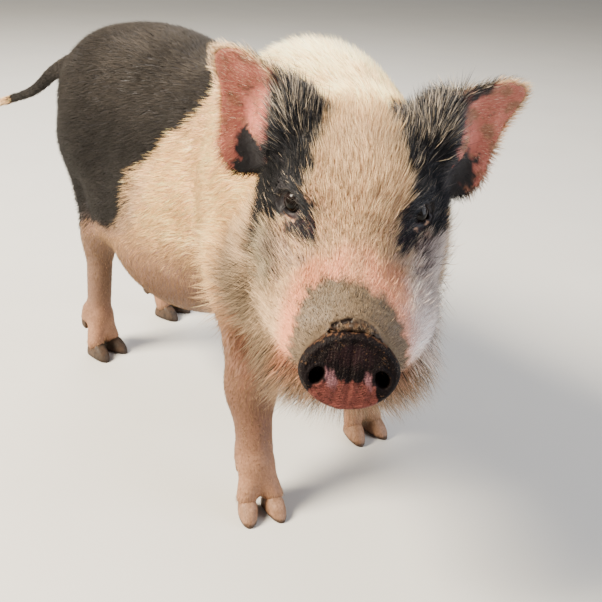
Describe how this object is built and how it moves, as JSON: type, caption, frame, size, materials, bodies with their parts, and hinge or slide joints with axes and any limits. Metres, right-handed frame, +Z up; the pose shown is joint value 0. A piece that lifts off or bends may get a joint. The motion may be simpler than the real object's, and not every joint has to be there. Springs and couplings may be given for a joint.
{
  "type": "pig",
  "caption": "Standing piebald mini pig with its head turned to its right and lowered a little, a still life-size museum model.",
  "frame": {"origin": "centre of the part's bounding box in plan, at floor level", "axes": "+X to the pig's left, -Y forward along the middle of its trunk, +Z up"},
  "size_m": [0.3266, 0.8182, 0.4461],
  "materials": {
    "coat": "pink skin under sparse cream bristles, with grey-black patches",
    "dark_coat": "grey-black skin under dark bristles",
    "ear_skin": "thin pink skin with fine cream hair",
    "snout_skin": "moist leathery black, pink below the nostrils",
    "eye": "wet, nearly black brown",
    "fore_claw": "dull tan horn",
    "hind_claw": "dull dark brown horn"
  },
  "bodies": {
    "root": {"tail": "dark_coat", "ear_right": "ear_skin", "ear_left": "ear_skin", "leg_front_right": "coat", "leg_front_left": "coat", "leg_hind_right": "coat", "leg_hind_left": "coat", "lower_jaw": "coat", "head": "coat", "neck": "coat", "trunk": "coat", "snout": "snout_skin", "eye_right": "eye", "eye_left": "eye", "claw_fore_right_outer": "fore_claw", "dewclaw_fore_right_outer": "fore_claw", "claw_fore_right_inner": "fore_claw", "dewclaw_fore_right_inner": "fore_claw", "claw_fore_left_outer": "fore_claw", "dewclaw_fore_left_outer": "fore_claw", "claw_fore_left_inner": "fore_claw", "dewclaw_fore_left_inner": "fore_claw", "claw_hind_right_outer": "hind_claw", "dewclaw_hind_right_outer": "hind_claw", "claw_hind_right_inner": "hind_claw", "dewclaw_hind_right_inner": "hind_claw", "claw_hind_left_outer": "hind_claw", "dewclaw_hind_left_outer": "hind_claw", "claw_hind_left_inner": "hind_claw", "dewclaw_hind_left_inner": "hind_claw"}
  },
  "joints": []
}
